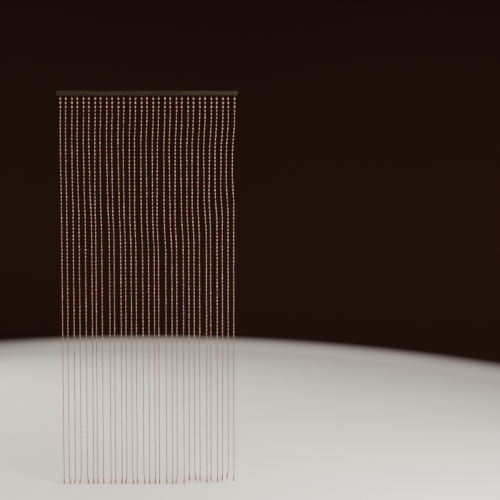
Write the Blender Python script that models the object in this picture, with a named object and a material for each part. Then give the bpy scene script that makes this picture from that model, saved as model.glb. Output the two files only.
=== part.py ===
"""A bead curtain: 31 strung strands that hang from a slim head rail.

Metres, +Z up. The origin is the centre of the rail's top face, +X runs along the rail to the right
as one faces the curtain, and +Y points away from the viewer. The strands are plain four-sided
solids at the real size of the strung beads. They hang free of each other, and only their roots are
fused, into the narrow strip that sits in the groove under the rail.
"""

import math

import bmesh
import bpy

MM = 0.001

# Head rail
RAIL_LENGTH = 0.910
RAIL_DEPTH = 0.018
RAIL_HEIGHT = 0.020
RAIL_EDGE_RADIUS = 0.0012
GROOVE_WIDTH = 0.0106
GROOVE_DEPTH = 0.0063
SEAT_GAP = 0.0003

# Hanging strip, a seat gap clear of the groove on three sides and flush with the rail's underside
STRIP_LENGTH = RAIL_LENGTH - 0.004
STRIP_DEPTH = GROOVE_WIDTH - 2 * SEAT_GAP
STRIP_TOP = -RAIL_HEIGHT + GROOVE_DEPTH - SEAT_GAP
STRIP_UNDERSIDE = -RAIL_HEIGHT

# Strands
STRAND_COUNT = 31
STRAND_PITCH = 0.0292
PAIR_OFFSET = 0.0012
CORD_SIDE = 0.0020
BARREL_SIDE = 0.0054
FULL_DROP = 2.000
BODY_SECTIONS = 24

# Larger beads at the top of each strand
BIG_BEAD_COUNT = 3
BIG_BEAD_PITCH = 0.0207
BIG_BEAD_HEIGHT = 0.0126
BIG_BEAD_SIDE = 0.0094
SPACER_SIDE = 0.0046
FIRST_BIG_BEAD_DEPTH = 0.0371

# The long drop at the foot: (share of its length, side of its section)
END_DROP_LENGTH = 0.050
END_DROP_SECTIONS = (
    (0.00, 0.0044),
    (0.35, 0.0056),
    (0.78, 0.0082),
    (1.00, 0.0040),
)

# How the row of strands hangs: all of it drifts a little to the right towards its foot, and a band
# of it sways to the left, less at the left edge than at the right. The band's top edge falls gently
# from left to right, and its lower edge sags in a bow.
FOOT_DRIFT = 0.0128
BAND_SHIFT_LEFT_EDGE = 0.002
BAND_SHIFT_RIGHT_EDGE = 0.010
BAND_TOP_DEPTH = 0.155
BAND_TOP_FALL = 0.070
BAND_FOOT_DEPTH = 0.430
BAND_FOOT_SAG = 0.300
BAND_BLEND = 0.200
BOW_CENTRE = 0.53
SWAY_STARTS = 0.15
SWAY_FULL = 0.75

# Strands that hang out of line: strand number from the left, sideways sway in millimetres
SWAY_MM = {
    4: 3, 5: 3, 6: 8, 7: -3, 9: 7, 10: 4, 11: 6, 12: 3, 14: -2, 16: 3, 18: -5,
    20: 4, 21: -3, 22: 4, 25: -4, 26: 4, 27: -6, 29: -5, 30: -3, 31: -6,
}

# Strands that end above the others: strand number, millimetres short
SHORT_MM = {23: 17, 24: 15, 25: 15, 26: 5, 27: 15, 28: 9, 29: 17, 30: 28, 31: 13}

# Drops that lean: strand number, degrees towards the right
LEAN_DEG = {
    2: 9, 3: -4, 4: -10, 5: 8, 7: 2, 8: 2, 10: -3, 11: -3, 12: -9, 13: 6, 14: 2, 15: 7,
    21: -11, 24: 8, 29: -5, 30: -10, 31: -2,
}


def clear_scene():
    for obj in list(bpy.data.objects):
        bpy.data.objects.remove(obj, do_unlink=True)


def material(name, color, roughness, metallic=0.0):
    made = bpy.data.materials.new(name)
    made.use_nodes = True
    shader = made.node_tree.nodes["Principled BSDF"]
    shader.inputs["Base Color"].default_value = (*color, 1.0)
    shader.inputs["Roughness"].default_value = roughness
    shader.inputs["Metallic"].default_value = metallic
    return made


def add_object(name, mesh_data, finish):
    mesh = bpy.data.meshes.new(name)
    mesh_data.to_mesh(mesh)
    mesh_data.free()
    mesh.materials.append(finish)
    obj = bpy.data.objects.new(name, mesh)
    bpy.context.scene.collection.objects.link(obj)
    return obj


def smoothstep(start, end, value):
    share = min(max((value - start) / (end - start), 0.0), 1.0)
    return share * share * (3.0 - 2.0 * share)


def strand_x(number):
    """Where a strand leaves the strip. The strands hang in slightly closer pairs."""
    side = 1 if number % 2 else -1
    return (number - (STRAND_COUNT + 1) / 2) * STRAND_PITCH + side * PAIR_OFFSET


def band_shift(across, depth):
    """The sideways push at a depth below the rail's top. across runs from 0 at the left to 1."""
    full = BAND_SHIFT_LEFT_EDGE + across * (BAND_SHIFT_RIGHT_EDGE - BAND_SHIFT_LEFT_EDGE)
    top = BAND_TOP_DEPTH + across * BAND_TOP_FALL
    bow = 1.0 - ((across - BOW_CENTRE) / BOW_CENTRE) ** 2
    foot = BAND_FOOT_DEPTH + BAND_FOOT_SAG * bow
    entered = smoothstep(top - BAND_BLEND / 2, top + BAND_BLEND / 2, depth)
    left_behind = smoothstep(foot - BAND_BLEND / 2, foot + BAND_BLEND / 2, depth)
    return -full * (entered - left_behind)


def hang_x(number, depth):
    """Where a strand's centre line is at a depth below the rail's top."""
    across = (number - 1) / (STRAND_COUNT - 1)
    drift = FOOT_DRIFT * depth / FULL_DROP
    sway = SWAY_MM.get(number, 0) * MM * smoothstep(SWAY_STARTS, SWAY_FULL, depth)
    return strand_x(number) + drift + band_shift(across, depth) + sway


def strand_sections(number):
    """(x, z, side) of each square section of a strand below its root, from the top down."""
    sections = []
    narrow_above = FIRST_BIG_BEAD_DEPTH - BIG_BEAD_HEIGHT / 2
    sections.append((narrow_above, CORD_SIDE))
    for bead in range(BIG_BEAD_COUNT):
        middle = FIRST_BIG_BEAD_DEPTH + bead * BIG_BEAD_PITCH
        sections.append((middle, BIG_BEAD_SIDE))
        sections.append((middle + BIG_BEAD_PITCH / 2, SPACER_SIDE))
    body_top = sections[-1][0]
    foot = FULL_DROP - SHORT_MM.get(number, 0) * MM
    lean = math.radians(LEAN_DEG.get(number, 0))
    body_foot = foot - END_DROP_LENGTH * math.cos(lean)
    for step in range(1, BODY_SECTIONS + 1):
        depth = body_top + (body_foot - body_top) * step / (BODY_SECTIONS + 1)
        sections.append((depth, BARREL_SIDE))
    placed = [(hang_x(number, depth), -depth, side) for depth, side in sections]
    for share, side in END_DROP_SECTIONS:
        along = share * END_DROP_LENGTH
        x = hang_x(number, body_foot) + along * math.sin(lean)
        placed.append((x, -(body_foot + along * math.cos(lean)), side))
    return placed


def square(bm, x, z, side):
    """Four corners round a strand's centre line, from the front left and anticlockwise from above."""
    half = side / 2
    corners = ((-half, -half), (half, -half), (half, half), (-half, half))
    return [bm.verts.new((x + dx, dy, z)) for dx, dy in corners]


def wall(bm, upper, lower):
    """The four faces between one section and the next below it."""
    for near in range(4):
        far = (near + 1) % 4
        bm.faces.new((upper[near], lower[near], lower[far], upper[far]))


def add_strand(bm, root, number):
    above = root
    for x, z, side in strand_sections(number):
        below = square(bm, x, z, side)
        wall(bm, above, below)
        above = below
    bm.faces.new(reversed(above))


def build_strands(finish):
    """The hanging strip, whose underside is a grid, with a strand from each root cell of the grid."""
    bm = bmesh.new()
    half_cord = CORD_SIDE / 2
    columns = [-STRIP_LENGTH / 2]
    for number in range(1, STRAND_COUNT + 1):
        columns += [strand_x(number) - half_cord, strand_x(number) + half_cord]
    columns.append(STRIP_LENGTH / 2)
    rows = (-STRIP_DEPTH / 2, -half_cord, half_cord, STRIP_DEPTH / 2)
    grid = [[bm.verts.new((x, y, STRIP_UNDERSIDE)) for y in rows] for x in columns]
    for column in range(len(columns) - 1):
        for row in range(len(rows) - 1):
            front_left = grid[column][row]
            front_right = grid[column + 1][row]
            back_right = grid[column + 1][row + 1]
            back_left = grid[column][row + 1]
            is_root = row == 1 and column % 2 == 1
            if is_root:
                root = [front_left, front_right, back_right, back_left]
                add_strand(bm, root, (column + 1) // 2)
            else:
                bm.faces.new((front_left, back_left, back_right, front_right))
    close_strip(bm, grid)
    bmesh.ops.recalc_face_normals(bm, faces=bm.faces)
    return add_object("strands", bm, finish)


def close_strip(bm, grid):
    """The strip's four sides and its flat top, above the grid's outer edge."""
    left = grid[0]
    right = grid[-1]
    front = [column[0] for column in grid]
    back = [column[-1] for column in grid]
    top = [
        bm.verts.new((corner.co.x, corner.co.y, STRIP_TOP))
        for corner in (front[0], front[-1], back[-1], back[0])
    ]
    bm.faces.new((top[0], top[1], *reversed(front)))
    bm.faces.new((top[1], top[2], *reversed(right)))
    bm.faces.new((top[2], top[3], *back))
    bm.faces.new((top[3], top[0], *left))
    bm.faces.new(top)


def build_rail(finish):
    """A bar with a groove along its underside, its long edges softened."""
    half_depth = RAIL_DEPTH / 2
    half_groove = GROOVE_WIDTH / 2
    groove_top = -RAIL_HEIGHT + GROOVE_DEPTH
    profile = (
        (-half_depth, 0.0),
        (-half_depth, -RAIL_HEIGHT),
        (-half_groove, -RAIL_HEIGHT),
        (-half_groove, groove_top),
        (half_groove, groove_top),
        (half_groove, -RAIL_HEIGHT),
        (half_depth, -RAIL_HEIGHT),
        (half_depth, 0.0),
    )
    bm = bmesh.new()
    end = bm.faces.new([bm.verts.new((-RAIL_LENGTH / 2, y, z)) for y, z in profile])
    grown = bmesh.ops.extrude_face_region(bm, geom=[end])
    moved = [item for item in grown["geom"] if isinstance(item, bmesh.types.BMVert)]
    bmesh.ops.translate(bm, verts=moved, vec=(RAIL_LENGTH, 0.0, 0.0))
    bmesh.ops.recalc_face_normals(bm, faces=bm.faces)
    outer = [
        edge
        for edge in bm.edges
        if all(abs(abs(corner.co.y) - half_depth) < SEAT_GAP for corner in edge.verts)
        and abs(edge.verts[0].co.x - edge.verts[1].co.x) > SEAT_GAP
    ]
    bmesh.ops.bevel(
        bm, geom=outer, offset=RAIL_EDGE_RADIUS, segments=2, profile=0.5, affect="EDGES"
    )
    return add_object("rail", bm, finish)


def build():
    clear_scene()
    stained_wood = material("stained_wood", (0.045, 0.032, 0.018), 0.55)
    lacquered_wood = material("lacquered_wood", (0.20, 0.055, 0.045), 0.25)
    build_rail(stained_wood)
    build_strands(lacquered_wood)


build()
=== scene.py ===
"""The looks of a bead curtain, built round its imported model.

Each strand is strung bead by bead along the line in which it hangs: a bare stretch of cord with its
knot, three larger beads, then barrels with two small round beads between them, and a long drop.
"""

import math
from collections import namedtuple

import bpy
import numpy as np
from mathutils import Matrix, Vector


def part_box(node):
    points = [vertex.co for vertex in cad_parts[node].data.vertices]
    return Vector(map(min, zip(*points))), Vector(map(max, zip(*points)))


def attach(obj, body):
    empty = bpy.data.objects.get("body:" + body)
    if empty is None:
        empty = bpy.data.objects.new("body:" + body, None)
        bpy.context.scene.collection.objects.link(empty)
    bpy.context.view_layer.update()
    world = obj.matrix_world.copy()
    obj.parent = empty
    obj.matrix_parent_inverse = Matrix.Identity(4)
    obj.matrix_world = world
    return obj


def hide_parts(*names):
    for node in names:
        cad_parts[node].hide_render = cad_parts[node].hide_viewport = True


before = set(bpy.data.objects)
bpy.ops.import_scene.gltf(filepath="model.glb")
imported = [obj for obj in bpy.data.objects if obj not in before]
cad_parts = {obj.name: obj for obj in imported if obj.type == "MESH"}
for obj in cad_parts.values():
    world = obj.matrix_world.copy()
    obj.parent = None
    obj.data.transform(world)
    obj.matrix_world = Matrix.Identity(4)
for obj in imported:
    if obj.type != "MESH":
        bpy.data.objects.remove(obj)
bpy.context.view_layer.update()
rail_low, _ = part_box("rail")
strands_low, strands_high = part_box("strands")

MM = 0.001

# The strands' places and hang, the same named sizes as the solids have
STRAND_COUNT = 31
STRAND_PITCH = 0.0292
PAIR_OFFSET = 0.0012
FULL_DROP = -strands_low.z
FOOT_DRIFT = 0.0128
BAND_SHIFT_LEFT_EDGE = 0.002
BAND_SHIFT_RIGHT_EDGE = 0.010
BAND_TOP_DEPTH = 0.155
BAND_TOP_FALL = 0.070
BAND_FOOT_DEPTH = 0.430
BAND_FOOT_SAG = 0.300
BAND_BLEND = 0.200
BOW_CENTRE = 0.53
SWAY_STARTS = 0.15
SWAY_FULL = 0.75

# Strand number from the left, and how far it sways, ends short or lets its drop lean
SWAY_MM = {
    4: 3, 5: 3, 6: 8, 7: -3, 9: 7, 10: 4, 11: 6, 12: 3, 14: -2, 16: 3, 18: -5,
    20: 4, 21: -3, 22: 4, 25: -4, 26: 4, 27: -6, 29: -5, 30: -3, 31: -6,
}
SHORT_MM = {23: 17, 24: 15, 25: 15, 26: 5, 27: 15, 28: 9, 29: 17, 30: 28, 31: 13}
LEAN_DEG = {
    2: 9, 3: -4, 4: -10, 5: 8, 7: 2, 8: 2, 10: -3, 11: -3, 12: -9, 13: 6, 14: 2, 15: 7,
    21: -11, 24: 8, 29: -5, 30: -10, 31: -2,
}

# Beads: height along the cord, and radius. The drop's widest place is a share of its length.
BARREL_HEIGHT = 0.0114
BARREL_RADIUS = 0.0031
SPACER_HEIGHT = 0.00335
SPACER_RADIUS = 0.0023
BIG_HEIGHT = 0.0126
BIG_RADIUS = 0.00525
HEAD_SPACER_HEIGHT = 0.0040
HEAD_SPACER_RADIUS = 0.0028
FIRST_BIG_DEPTH = 0.0371
DROP_LENGTH = 0.050
DROP_NECK_RADIUS = 0.0022
DROP_RADIUS = 0.0043
DROP_WIDEST = 0.82
FOOT_CORD = 0.0008

# How the beads differ from each other
RADIUS_SPREAD = 0.05
HEIGHT_SPREAD = 0.04
TILT_SPREAD = math.radians(1.6)
SIDE_SPREAD = 0.00012
GRAIN_SPREAD = 0.6
SEED = 31

# Finishes
LACQUER_IOR = 1.75
WOOD_IOR = 1.6
PORE_COLOR = (0.020, 0.005, 0.005)

# Stage
GROUND_Z = strands_low.z - 0.003
GROUND_RADIUS = 3.7
BACKDROP_CURVE_RADIUS = 1.2
BACKDROP_HEIGHT = 7.0
BACKDROP_FADE = 0.10
BACKDROP_COLOR = (0.019, 0.008, 0.006)

# Cord, with its root a little way up in the hole that it hangs from
CORD_ROOT_Z = rail_low.z + 0.0010
CORD_RADIUS = 0.00055
CORD_LOBE = 0.28
CORD_TWIST_PITCH = 0.0034
KNOT_DEPTH = 0.0249
KNOT_SCALE = 0.00030
KNOT_CORD_RADIUS = 0.00042

Shape = namedtuple("Shape", "points corners sizes")
Copies = namedtuple("Copies", "shape placed tones grain finish")


def smoothstep(start, end, value):
    """0 below start and 1 above end, with a smooth rise between, for a number or an array."""
    share = np.clip((value - start) / (end - start), 0.0, 1.0)
    return share * share * (3.0 - 2.0 * share)


def strand_x(number):
    """Where a strand leaves the strip. The strands hang in slightly closer pairs."""
    side = 1 if number % 2 else -1
    return (number - (STRAND_COUNT + 1) / 2) * STRAND_PITCH + side * PAIR_OFFSET


def band_shift(across, depth):
    """The sideways push at a depth below the rail's top. across runs from 0 at the left to 1."""
    full = BAND_SHIFT_LEFT_EDGE + across * (BAND_SHIFT_RIGHT_EDGE - BAND_SHIFT_LEFT_EDGE)
    top = BAND_TOP_DEPTH + across * BAND_TOP_FALL
    bow = 1.0 - ((across - BOW_CENTRE) / BOW_CENTRE) ** 2
    foot = BAND_FOOT_DEPTH + BAND_FOOT_SAG * bow
    entered = smoothstep(top - BAND_BLEND / 2, top + BAND_BLEND / 2, depth)
    left_behind = smoothstep(foot - BAND_BLEND / 2, foot + BAND_BLEND / 2, depth)
    return -full * (entered - left_behind)


def hang_x(number, depth):
    """Where a strand's centre line is at a depth below the rail's top."""
    across = (number - 1) / (STRAND_COUNT - 1)
    drift = FOOT_DRIFT * depth / FULL_DROP
    sway = SWAY_MM.get(number, 0) * MM * smoothstep(SWAY_STARTS, SWAY_FULL, depth)
    return strand_x(number) + drift + band_shift(across, depth) + sway


def turned(profile, sides):
    """A closed solid turned about Z from (radius, height) pairs that run from its foot to its top."""
    angles = 2 * math.pi * np.arange(sides) / sides
    rings = [
        np.stack([r * np.cos(angles), r * np.sin(angles), np.full(sides, z)], axis=1)
        for r, z in profile
    ]
    corners = []
    sizes = []
    for ring in range(len(profile) - 1):
        for near in range(sides):
            far = (near + 1) % sides
            low = ring * sides
            high = low + sides
            corners += [low + near, low + far, high + far, high + near]
            sizes.append(4)
    top = (len(profile) - 1) * sides
    corners += [*reversed(range(sides)), *range(top, top + sides)]
    sizes += [sides, sides]
    return Shape(np.concatenate(rings), np.array(corners), np.array(sizes))


def bead(radius, height, half_profile, sides):
    """A bead turned from (share of its radius, share of its half height) pairs, middle to end."""
    upper = [(radius * wide, height / 2 * up) for wide, up in half_profile]
    lower = [(r, -z) for r, z in reversed(upper) if z > 0]
    return turned(lower + upper, sides)


def drop_profile():
    """A slim drop: a collar and neck at its top, swelling slowly to a round foot."""
    stations = (1.0, 0.985, 0.95, 0.90, DROP_WIDEST, 0.70, 0.55, 0.38, 0.20, 0.085)
    profile = []
    for share in stations:
        if share > DROP_WIDEST:
            round_off = (share - DROP_WIDEST) / (1 - DROP_WIDEST)
            radius = DROP_RADIUS * math.sqrt(max(1 - round_off**2, 0.0036))
        else:
            swell = float(smoothstep(0.0, DROP_WIDEST, share))
            radius = DROP_NECK_RADIUS + (DROP_RADIUS - DROP_NECK_RADIUS) * swell
        profile.append((radius, -share * DROP_LENGTH))
    collar = DROP_NECK_RADIUS * 1.22
    profile += [
        (DROP_NECK_RADIUS * 0.96, -0.0032),
        (collar, -0.0022),
        (collar, -0.0010),
        (DROP_NECK_RADIUS * 0.72, 0.0),
    ]
    return profile


def tube(path, radius_at, sides, looped=False):
    """A tube along a path. radius_at gives its radius at (place along the path, angle)."""
    path = np.asarray(path)
    count = len(path)
    if looped:
        ahead = np.roll(path, -1, axis=0) - np.roll(path, 1, axis=0)
    else:
        ahead = np.gradient(path, axis=0)
    ahead /= np.linalg.norm(ahead, axis=1, keepdims=True)
    side = np.cross(ahead, (0.31, 0.93, 0.19))
    side /= np.linalg.norm(side, axis=1, keepdims=True)
    other = np.cross(ahead, side)
    angles = 2 * math.pi * np.arange(sides) / sides
    points = []
    for place in range(count):
        for angle in angles:
            out = math.cos(angle) * side[place] + math.sin(angle) * other[place]
            points.append(path[place] + radius_at(place, angle) * out)
    corners = []
    sizes = []
    for ring in range(count if looped else count - 1):
        here = ring * sides
        there = (ring + 1) % count * sides
        for near in range(sides):
            far = (near + 1) % sides
            corners += [here + near, here + far, there + far, there + near]
            sizes.append(4)
    if not looped:
        last = (count - 1) * sides
        corners += [*reversed(range(sides)), *range(last, last + sides)]
        sizes += [sides, sides]
    return Shape(np.array(points), np.array(corners), np.array(sizes))


def twisted_cord(top, foot):
    """A short upright length of two-ply cord, from height top down to height foot."""
    steps = max(4, round((top - foot) / CORD_TWIST_PITCH * 8))
    heights = np.linspace(foot, top, steps + 1)
    path = np.stack([0 * heights, 0 * heights, heights], axis=1)

    def radius_at(place, angle):
        turn = 2 * math.pi * heights[place] / CORD_TWIST_PITCH
        return CORD_RADIUS * (1 + CORD_LOBE * math.cos(2 * angle - turn))

    return tube(path, radius_at, 8)


def overhand_knot():
    """A small tight knot, the cord's own thickness, about the origin."""
    t = 2 * math.pi * np.arange(26) / 26
    path = KNOT_SCALE * np.stack(
        [
            np.sin(t) + 2 * np.sin(2 * t),
            np.cos(t) - 2 * np.cos(2 * t),
            -1.6 * np.sin(3 * t),
        ],
        axis=1,
    )
    return tube(path, lambda place, angle: KNOT_CORD_RADIUS, 6, looped=True)


def upright_frames(up, spins):
    """Rotations that take Z to each direction in up, after a spin about Z."""
    side = np.cross((0.0, 1.0, 0.0), up)
    side /= np.linalg.norm(side, axis=1, keepdims=True)
    other = np.cross(up, side)
    cos = np.cos(spins)[:, None]
    sin = np.sin(spins)[:, None]
    first = cos * side + sin * other
    second = -sin * side + cos * other
    return np.stack([first, second, up], axis=2)


def place(shape, centres, up, stretch, finish, draw):
    """Copies of a shape at these centres. Each has its own spin, tone and piece of grain."""
    count = len(centres)
    turns = upright_frames(up, draw.uniform(0, 2 * math.pi, count))
    scaled = shape.points[None] * stretch[:, None]
    placed = np.einsum("nij,nvj->nvi", turns, scaled) + centres[:, None]
    grain = shape.points[None] + draw.uniform(-GRAIN_SPREAD, GRAIN_SPREAD, (count, 1, 3))
    return Copies(shape, placed, draw.uniform(0, 1, count), grain, finish)


def joined_object(name, all_copies, finishes):
    """One mesh object of many copies of shapes, with each copy's tone and grain on its points."""
    points = []
    tones = []
    grain = []
    corners = []
    sizes = []
    slots = []
    used = 0
    for copies in all_copies:
        count, each, _ = copies.placed.shape
        points.append(copies.placed.reshape(-1, 3))
        tones.append(np.repeat(copies.tones, each))
        grain.append(copies.grain.reshape(-1, 3))
        firsts = used + each * np.arange(count)
        corners.append((copies.shape.corners[None] + firsts[:, None]).ravel())
        sizes.append(np.tile(copies.shape.sizes, count))
        slots.append(np.full(count * len(copies.shape.sizes), copies.finish))
        used += count * each
    corners = np.concatenate(corners).astype(np.int32)
    sizes = np.concatenate(sizes)
    starts = np.concatenate([[0], np.cumsum(sizes)[:-1]]).astype(np.int32)
    mesh = bpy.data.meshes.new(name)
    mesh.vertices.add(used)
    mesh.vertices.foreach_set("co", np.concatenate(points).astype(np.float32).ravel())
    mesh.loops.add(len(corners))
    mesh.loops.foreach_set("vertex_index", corners)
    mesh.polygons.add(len(sizes))
    mesh.polygons.foreach_set("loop_start", starts)
    mesh.polygons.foreach_set("material_index", np.concatenate(slots).astype(np.int32))
    for finish in finishes:
        mesh.materials.append(finish)
    tone = mesh.attributes.new("tone", "FLOAT", "POINT")
    tone.data.foreach_set("value", np.concatenate(tones).astype(np.float32))
    own_grain = mesh.attributes.new("grain", "FLOAT_VECTOR", "POINT")
    own_grain.data.foreach_set("vector", np.concatenate(grain).astype(np.float32).ravel())
    mesh.update(calc_edges=True)
    mesh.shade_smooth()
    mesh.set_sharp_from_angle(angle=math.radians(48))
    made = bpy.data.objects.new(name, mesh)
    bpy.context.scene.collection.objects.link(made)
    return made


def node(tree, kind, links=None, **settings):
    """A shader node with its properties set and its inputs linked to sockets or set to values."""
    made = tree.nodes.new(kind)
    for key, value in settings.items():
        setattr(made, key, value)
    for key, value in (links or {}).items():
        if isinstance(value, bpy.types.NodeSocket):
            tree.links.new(value, made.inputs[key])
        else:
            made.inputs[key].default_value = value
    return made


def ramp(tree, factor, stops):
    """A colour ramp of (place, colour) stops."""
    made = node(tree, "ShaderNodeValToRGB", {"Fac": factor})
    elements = made.color_ramp.elements
    while len(elements) < len(stops):
        elements.new(0.5)
    for element, (where, color) in zip(elements, stops):
        element.position = where
        element.color = (*color, 1.0)
    return made.outputs["Color"]


def mask(tree, factor, low, high):
    """0 below low and 1 above high, smoothly."""
    made = node(
        tree,
        "ShaderNodeMapRange",
        {"Value": factor, "From Min": low, "From Max": high},
        interpolation_type="SMOOTHSTEP",
    )
    return made.outputs["Result"]


def span(tree, factor, low, high):
    """A 0 to 1 value spread over low to high."""
    made = node(tree, "ShaderNodeMapRange", {"Value": factor, "To Min": low, "To Max": high})
    return made.outputs["Result"]


def mixed(tree, factor, under, over, blend="MIX"):
    """One colour laid over another by a factor. Each is a socket, a colour or a number."""
    made = node(tree, "ShaderNodeMix", data_type="RGBA", blend_type=blend)
    sockets = (made.inputs[0], made.inputs[6], made.inputs[7])
    for socket, value in zip(sockets, (factor, under, over)):
        if isinstance(value, bpy.types.NodeSocket):
            tree.links.new(value, socket)
        elif isinstance(value, tuple):
            socket.default_value = (*value, 1.0)
        else:
            socket.default_value = value
    return made.outputs[2]


def noise(tree, coordinates, scale, detail=4.0, roughness=0.55, distortion=0.0):
    """A 0 to 1 noise at these coordinates."""
    made = node(
        tree,
        "ShaderNodeTexNoise",
        {
            "Vector": coordinates,
            "Scale": scale,
            "Detail": detail,
            "Roughness": roughness,
            "Distortion": distortion,
        },
    )
    return made.outputs["Fac"]


def stretched(tree, coordinates, scale):
    """Coordinates scaled along each axis. A scale under 1 draws a texture out along that axis."""
    made = node(tree, "ShaderNodeMapping", {"Vector": coordinates, "Scale": scale})
    return made.outputs["Vector"]


def new_material(name, roughness, coat=0.0, coat_roughness=0.03):
    """A material, its node tree and its shader, with a clear coat if one is asked for."""
    made = bpy.data.materials.new(name)
    made.use_nodes = True
    shader = made.node_tree.nodes["Principled BSDF"]
    shader.inputs["Roughness"].default_value = roughness
    shader.inputs["Coat Weight"].default_value = coat
    shader.inputs["Coat Roughness"].default_value = coat_roughness
    shader.inputs["Coat IOR"].default_value = LACQUER_IOR
    shader.inputs["IOR"].default_value = WOOD_IOR
    return made, made.node_tree, shader


def bumped(tree, shader, height, strength, distance):
    """Fine relief on a shader from a height value."""
    made = node(
        tree,
        "ShaderNodeBump",
        {"Height": height, "Strength": strength, "Distance": distance},
    )
    tree.links.new(made.outputs["Normal"], shader.inputs["Normal"])


def attribute(tree, name, output):
    """An output of a named value on the mesh's points."""
    made = node(tree, "ShaderNodeAttribute", attribute_name=name)
    return made.outputs[output]


def lacquered_bead(name, tones, flame, flame_from, streak_depth, sheen_level, coat):
    """Turned wood under clear lacquer, each bead with its own tone, streaks, flames and pores."""
    made, tree, shader = new_material(name, 0.38, coat=coat, coat_roughness=0.09)
    shader.inputs["Specular IOR Level"].default_value = sheen_level
    grain = attribute(tree, "grain", "Vector")
    tone = attribute(tree, "tone", "Fac")
    body = ramp(tree, tone, tones)
    broad = noise(tree, stretched(tree, grain, (1.0, 1.0, 0.20)), 620.0, 2.0, 0.5, 0.5)
    fine = noise(tree, stretched(tree, grain, (1.0, 1.0, 0.16)), 2300.0, 3.0, 0.6, 0.2)
    bands = span(tree, mask(tree, broad, 0.30, 0.70), 0.45, 1.50)
    streaks = span(tree, mask(tree, fine, 0.32, 0.68), 0.40, 1.50)
    banded = mixed(tree, streak_depth, body, bands, "MULTIPLY")
    streaked = mixed(tree, streak_depth, banded, streaks, "MULTIPLY")
    sides = noise(tree, stretched(tree, grain, (1.0, 1.0, 0.35)), 150.0, 1.0, 0.4, 0.3)
    flame_mask = span(tree, mask(tree, sides, flame_from, flame_from + 0.14), 0.0, 0.75)
    flamed = mixed(tree, flame_mask, streaked, flame)
    pores = noise(tree, stretched(tree, grain, (1.0, 1.0, 0.20)), 4200.0, 1.0, 0.5)
    pore_mask = span(tree, mask(tree, pores, 0.57, 0.64), 0.0, 0.75)
    colour = mixed(tree, pore_mask, flamed, PORE_COLOR)
    tree.links.new(colour, shader.inputs["Base Color"])
    tree.links.new(span(tree, fine, 0.28, 0.50), shader.inputs["Roughness"])
    bumped(tree, shader, fine, 0.30, 0.00006)
    return made


def stained_rail_with_painted_shade():
    """Dark olive-brown stained wood, its grain along the rail, its colour darkened further by painted
    shade.
    """
    made, tree, shader = new_material("stained_wood", 0.6)
    shader.inputs["Specular IOR Level"].default_value = 0.08
    place_in_object = node(tree, "ShaderNodeTexCoord").outputs["Object"]
    along = stretched(tree, place_in_object, (0.05, 1.0, 1.0))
    broad = noise(tree, along, 160.0, 3.0, 0.5, 0.8)
    fine = noise(tree, along, 1400.0, 4.0, 0.65)
    # These colours are kept very dark: the wood's own dark stain together with painted shade.
    stain_and_painted_shade = ramp(
        tree,
        broad,
        (
            (0.30, (0.005, 0.004, 0.002)),
            (0.52, (0.012, 0.009, 0.005)),
            (0.72, (0.021, 0.016, 0.008)),
        ),
    )
    colour = mixed(tree, 0.7, stain_and_painted_shade, span(tree, fine, 0.45, 1.35), "MULTIPLY")
    tree.links.new(colour, shader.inputs["Base Color"])
    tree.links.new(span(tree, fine, 0.50, 0.72), shader.inputs["Roughness"])
    bumped(tree, shader, fine, 0.3, 0.0002)
    return made


def cord_material():
    """Dark waxed cord, its fibres running round with the twist."""
    made, tree, shader = new_material("cord", 0.75)
    grain = attribute(tree, "grain", "Vector")
    fibres = noise(tree, stretched(tree, grain, (1.0, 1.0, 0.35)), 6500.0, 3.0, 0.6)
    colour = ramp(tree, fibres, ((0.35, (0.016, 0.007, 0.006)), (0.70, (0.085, 0.040, 0.030))))
    tree.links.new(colour, shader.inputs["Base Color"])
    bumped(tree, shader, fibres, 0.6, 0.0001)
    return made


def ground_material():
    """A plain pale ground, which gives way to a plain dark backdrop where it curves up."""
    made, tree, shader = new_material("ground", 0.9)
    shader.inputs["Specular IOR Level"].default_value = 0.04
    place_in_object = node(tree, "ShaderNodeTexCoord").outputs["Object"]
    height = node(tree, "ShaderNodeSeparateXYZ", {"Vector": place_in_object}).outputs["Z"]
    clouds = noise(tree, place_in_object, 1.5, 2.0, 0.5)
    pale = ramp(tree, clouds, ((0.3, (0.60, 0.59, 0.57)), (0.7, (0.63, 0.62, 0.60))))
    risen = mask(tree, height, GROUND_Z, GROUND_Z + BACKDROP_FADE)
    tree.links.new(mixed(tree, risen, pale, BACKDROP_COLOR), shader.inputs["Base Color"])
    return made


def strand_line(number):
    """Depths down the strand and the length of string to each, close enough to read between."""
    reading_step = 0.002
    depths = np.arange(0.0, FULL_DROP, reading_step)
    across = hang_x(number, depths)
    steps = np.hypot(np.diff(depths), np.diff(across))
    return depths, np.concatenate([[0.0], np.cumsum(steps)])


# Half profiles of the beads: share of the radius, and share of the half height
BARREL_PROFILE = ((1.0, 0.0), (0.945, 0.44), (0.77, 0.82), (0.53, 1.0))
SPACER_PROFILE = ((1.0, 0.0), (0.86, 0.56), (0.46, 1.0))
BIG_PROFILE = ((1.0, 0.10), (0.91, 0.46), (0.70, 0.76), (0.34, 1.0))

BARREL, SPACER, BIG, HEAD_SPACER = range(4)
SHAPES = (
    bead(BARREL_RADIUS, BARREL_HEIGHT, BARREL_PROFILE, 9),
    bead(SPACER_RADIUS, SPACER_HEIGHT, SPACER_PROFILE, 8),
    bead(BIG_RADIUS, BIG_HEIGHT, BIG_PROFILE, 16),
    bead(HEAD_SPACER_RADIUS, HEAD_SPACER_HEIGHT, SPACER_PROFILE, 10),
)
HEIGHTS = (BARREL_HEIGHT, SPACER_HEIGHT, BIG_HEIGHT, HEAD_SPACER_HEIGHT)
FINISHES = (0, 1, 0, 1)
DROP = turned(drop_profile(), 12)
HEAD_PAIR = (HEAD_SPACER, HEAD_SPACER)
HEAD_BEADS = (SPACER, BIG, *HEAD_PAIR, BIG, *HEAD_PAIR, BIG, SPACER, SPACER)


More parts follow.
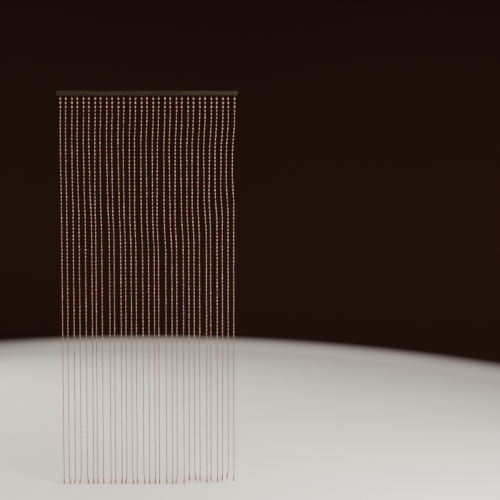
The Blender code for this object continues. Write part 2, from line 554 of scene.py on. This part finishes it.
def bead_order(number, draw):
    """The kind of each bead down a strand, and the length of string to its middle."""
    depths, lengths = strand_line(number)
    foot = FULL_DROP - SHORT_MM.get(number, 0) * MM
    lean = math.radians(LEAN_DEG.get(number, 0))
    drop_top = foot - DROP_LENGTH * math.cos(lean)
    head_heights = np.array([HEIGHTS[kind] for kind in HEAD_BEADS])
    head_top = FIRST_BIG_DEPTH - BIG_HEIGHT / 2 - SPACER_HEIGHT
    start = np.interp(head_top, depths, lengths)
    head_middles = start + np.cumsum(head_heights) - head_heights / 2
    body_start = start + head_heights.sum()
    body_length = np.interp(drop_top - FOOT_CORD, depths, lengths) - body_start
    unit = BARREL_HEIGHT + 2 * SPACER_HEIGHT
    repeats = round(body_length / unit)
    kinds = np.array([BARREL, SPACER, SPACER] * repeats)
    uneven = draw.normal(1.0, HEIGHT_SPREAD / 2, len(kinds))
    heights = np.array(HEIGHTS)[kinds] * uneven.clip(1 - 2 * HEIGHT_SPREAD, 1 + 2 * HEIGHT_SPREAD)
    heights *= body_length / heights.sum()
    middles = body_start + np.cumsum(heights) - heights / 2
    all_kinds = np.concatenate([HEAD_BEADS, kinds])
    all_heights = np.concatenate([head_heights, heights])
    all_middles = np.concatenate([head_middles, middles])
    bead_depths = np.interp(all_middles, lengths, depths)
    return all_kinds, all_heights, bead_depths, drop_top, lean


def strung_beads(number, draw):
    """Every bead of a strand and the drop at its foot, as copies to join."""
    kinds, heights, bead_depths, drop_top, lean = bead_order(number, draw)
    reach = 0.004
    x = hang_x(number, bead_depths)
    above = hang_x(number, bead_depths - reach)
    below = hang_x(number, bead_depths + reach)
    slope = (above - below) / (2 * reach)
    up = np.stack([slope, np.zeros(len(x)), np.ones(len(x))], axis=1)
    up[:, :2] += draw.normal(0, TILT_SPREAD / 2, (len(x), 2)).clip(-TILT_SPREAD, TILT_SPREAD)
    up /= np.linalg.norm(up, axis=1, keepdims=True)
    centres = np.stack([x, 0 * x, -bead_depths], axis=1)
    centres[:, :2] += draw.uniform(-SIDE_SPREAD, SIDE_SPREAD, (len(x), 2))
    across = draw.normal(1.0, RADIUS_SPREAD / 2, len(x))
    across = across.clip(1 - RADIUS_SPREAD, 1 + RADIUS_SPREAD)
    made = []
    for kind, shape in enumerate(SHAPES):
        chosen = kinds == kind
        along = heights[chosen] / HEIGHTS[kind]
        stretch = np.stack([across[chosen], across[chosen], along], axis=1)
        made.append(place(shape, centres[chosen], up[chosen], stretch, FINISHES[kind], draw))
    top = np.array([[float(hang_x(number, drop_top)), 0.0, -drop_top]])
    leaning_up = np.array([[-math.sin(lean), 0.0, math.cos(lean)]])
    made.append(place(DROP, top, leaning_up, np.ones((1, 3)), 2, draw))
    return made


def cord_pieces(draw):
    """The bare cord, its knot above the first bead, and the bit of cord above each drop."""
    foot_reach = 0.0012
    first_bead_depth = FIRST_BIG_DEPTH - BIG_HEIGHT / 2 - SPACER_HEIGHT / 2
    head_cord = twisted_cord(0.0, -(first_bead_depth + CORD_ROOT_Z))
    foot_cord = twisted_cord(foot_reach, -foot_reach)
    knot = overhand_knot()
    numbers = range(1, STRAND_COUNT + 1)
    straight_up = np.tile((0.0, 0.0, 1.0), (STRAND_COUNT, 1))
    same_size = np.ones((STRAND_COUNT, 3))
    roots = np.array([(strand_x(n), 0.0, CORD_ROOT_Z) for n in numbers])
    knots = np.array([(strand_x(n), 0.0, -KNOT_DEPTH) for n in numbers])
    feet = []
    for n in numbers:
        lean = math.radians(LEAN_DEG.get(n, 0))
        drop_top = FULL_DROP - SHORT_MM.get(n, 0) * MM - DROP_LENGTH * math.cos(lean)
        feet.append((float(hang_x(n, drop_top)), 0.0, -drop_top + FOOT_CORD / 2))
    return [
        place(head_cord, roots, straight_up, same_size, 0, draw),
        place(knot, knots, straight_up, same_size, 0, draw),
        place(foot_cord, np.array(feet), straight_up, same_size, 0, draw),
    ]


def hanging_strip(finish):
    """The slat in the rail's groove. Each cord comes out of a countersunk hole in its underside."""
    hole_sides = 12
    rim_radius = 0.0021
    hole_radius = 0.0009
    sink = 0.0012
    low = Vector((strands_low.x, strands_low.y, rail_low.z))
    high = Vector((strands_high.x, strands_high.y, strands_high.z))
    edges = [low.x]
    for number in range(1, STRAND_COUNT):
        edges.append((strand_x(number) + strand_x(number + 1)) / 2)
    edges.append(high.x)
    points = []
    faces = []

    def add(*co):
        points.append(co)
        return len(points) - 1

    columns = [(add(x, low.y, low.z), add(x, high.y, low.z)) for x in edges]
    for cell in range(STRAND_COUNT):
        middle = strand_x(cell + 1)
        rings = []
        for radius, z in ((rim_radius, low.z), (hole_radius, low.z + sink)):
            ring = []
            for step in range(hole_sides):
                angle = 2 * math.pi * (step + 0.5) / hole_sides
                x = middle + radius * math.cos(angle)
                ring.append(add(x, radius * math.sin(angle), z))
            rings.append(ring)
        rim, bore = rings
        (front_left, back_left), (front_right, back_right) = columns[cell], columns[cell + 1]
        quarter = hole_sides // 4
        corner_of = (back_right, back_left, front_left, front_right)
        for step in range(hole_sides):
            following = (step + 1) % hole_sides
            faces.append((rim[step], rim[following], bore[following], bore[step]))
            corner = corner_of[step // quarter]
            if (step + 1) % quarter:
                faces.append((corner, rim[following], rim[step]))
            else:
                ahead = corner_of[(step // quarter + 1) % 4]
                faces.append((corner, ahead, rim[following], rim[step]))
        faces.append(tuple(bore))
    top = [
        add(low.x, low.y, high.z),
        add(high.x, low.y, high.z),
        add(high.x, high.y, high.z),
        add(low.x, high.y, high.z),
    ]
    faces.append(tuple(top))
    faces.append((top[1], top[0], *[c[0] for c in columns]))
    faces.append((top[3], top[2], *[c[1] for c in reversed(columns)]))
    faces.append((top[0], top[3], columns[0][1], columns[0][0]))
    faces.append((top[2], top[1], columns[-1][0], columns[-1][1]))
    mesh = bpy.data.meshes.new("hanging_strip")
    mesh.from_pydata(points, [], faces)
    mesh.update()
    mesh.materials.append(finish)
    made = bpy.data.objects.new("hanging_strip", mesh)
    bpy.context.scene.collection.objects.link(made)
    return made


def backdrop(finish):
    """A round ground whose rim curves up into a plain wall on every side."""
    sides = 96
    curve_steps = 12
    profile = [(0.0, GROUND_Z), (GROUND_RADIUS, GROUND_Z)]
    for step in range(1, curve_steps + 1):
        angle = math.pi / 2 * step / curve_steps
        radius = GROUND_RADIUS + BACKDROP_CURVE_RADIUS * math.sin(angle)
        profile.append((radius, GROUND_Z + BACKDROP_CURVE_RADIUS * (1 - math.cos(angle))))
    profile.append((GROUND_RADIUS + BACKDROP_CURVE_RADIUS, GROUND_Z + BACKDROP_HEIGHT))
    points = []
    for radius, z in profile:
        for step in range(sides):
            angle = 2 * math.pi * step / sides
            points.append((radius * math.cos(angle), radius * math.sin(angle), z))
    faces = []
    for ring in range(len(profile) - 1):
        for near in range(sides):
            far = (near + 1) % sides
            low = ring * sides
            high = low + sides
            faces.append((low + near, low + far, high + far, high + near))
    mesh = bpy.data.meshes.new("backdrop")
    mesh.from_pydata(points, [], faces)
    mesh.validate()
    mesh.shade_smooth()
    mesh.materials.append(finish)
    made = bpy.data.objects.new("backdrop", mesh)
    bpy.context.scene.collection.objects.link(made)


def area_light(name, place_at, aim_at, size, power, color, glossy=True):
    """A soft rectangle of light. One that isn't glossy makes no highlight or rim on the beads."""
    data = bpy.data.lights.new(name, "AREA")
    data.shape = "RECTANGLE"
    data.size, data.size_y = size
    data.energy = power
    data.color = color
    made = bpy.data.objects.new(name, data)
    made.location = place_at
    made.visible_glossy = glossy
    aim = Vector(aim_at) - Vector(place_at)
    made.rotation_euler = aim.to_track_quat("-Z", "Y").to_euler()
    bpy.context.scene.collection.objects.link(made)


def light_scene():
    """A large soft key from the right, a fill from the left, and two lights on the back."""
    middle = (0.0, 0.0, -1.0)
    warm = (1.0, 0.93, 0.84)
    area_light("key", (2.6, -1.85, -0.25), middle, (1.4, 2.2), 385.0, warm)
    area_light("fill", (-2.3, -2.7, -0.3), middle, (1.8, 1.4), 120.0, warm)
    area_light("top", (0.4, 2.0, 1.8), middle, (2.0, 2.0), 90.0, warm, glossy=False)
    area_light("back", (-2.0, 2.4, 0.1), middle, (1.4, 2.0), 110.0, warm, glossy=False)
    world = bpy.data.worlds.new("soft_white")
    world.use_nodes = True
    background = world.node_tree.nodes["Background"]
    background.inputs["Color"].default_value = (1.0, 1.0, 1.0, 1.0)
    background.inputs["Strength"].default_value = 0.10
    bpy.context.scene.world = world


def place_camera():
    """The photograph's view: straight on, tipped slightly down, with the curtain left of centre."""
    image_width = 500
    focal_px = 632.0
    curtain_centre_px = 147.0
    sensor = 36.0
    data = bpy.data.cameras.new("camera")
    data.sensor_width = sensor
    data.lens = focal_px / image_width * sensor
    data.shift_x = (image_width / 2 - curtain_centre_px) / image_width
    camera = bpy.data.objects.new("camera", data)
    camera.location = (0.0, -3.2, -0.700)
    camera.rotation_euler = (math.radians(90 - 1.77), 0.0, 0.0)
    bpy.context.scene.collection.objects.link(camera)
    bpy.context.scene.camera = camera


def dress():
    """Every piece of the curtain with its finish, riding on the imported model."""
    barrel_wood = lacquered_bead(
        "barrel_bead",
        (
            (0.00, (0.083, 0.017, 0.016)),
            (0.20, (0.157, 0.047, 0.038)),
            (0.42, (0.196, 0.044, 0.038)),
            (0.60, (0.138, 0.047, 0.038)),
            (0.76, (0.198, 0.042, 0.027)),
            (0.88, (0.070, 0.023, 0.018)),
            (1.00, (0.196, 0.074, 0.038)),
        ),
        flame=(0.400, 0.078, 0.030),
        flame_from=0.58,
        streak_depth=0.85,
        sheen_level=0.30,
        coat=1.0,
    )
    spacer_wood = lacquered_bead(
        "spacer_bead",
        (
            (0.0, (0.008, 0.002, 0.002)),
            (0.6, (0.022, 0.005, 0.005)),
            (1.0, (0.065, 0.010, 0.010)),
        ),
        flame=(0.100, 0.018, 0.015),
        flame_from=0.66,
        streak_depth=0.45,
        sheen_level=0.08,
        coat=0.25,
    )
    drop_wood = lacquered_bead(
        "end_drop",
        (
            (0.0, (0.112, 0.026, 0.013)),
            (0.5, (0.172, 0.044, 0.021)),
            (1.0, (0.220, 0.064, 0.028)),
        ),
        flame=(0.360, 0.092, 0.036),
        flame_from=0.56,
        streak_depth=0.85,
        sheen_level=0.30,
        coat=0.6,
    )
    cord = cord_material()
    draw = np.random.default_rng(SEED)
    for number in range(1, STRAND_COUNT + 1):
        beads = strung_beads(number, draw)
        strand = joined_object(f"strand_{number:02d}", beads, (barrel_wood, spacer_wood, drop_wood))
        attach(strand, "root")
        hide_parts("strands")
    cords = joined_object("cords_and_knots", cord_pieces(draw), (cord,))
    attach(cords, "root")
    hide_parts("strands")
    # The rail and the strip share one wood colour: dark stain with painted shade in it.
    rail_wood_and_painted_shade = stained_rail_with_painted_shade()
    strip = hanging_strip(rail_wood_and_painted_shade)
    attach(strip, "root")
    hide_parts("strands")
    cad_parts["rail"].data.materials.clear()
    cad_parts["rail"].data.materials.append(rail_wood_and_painted_shade)


dress()
backdrop(ground_material())
light_scene()
place_camera()
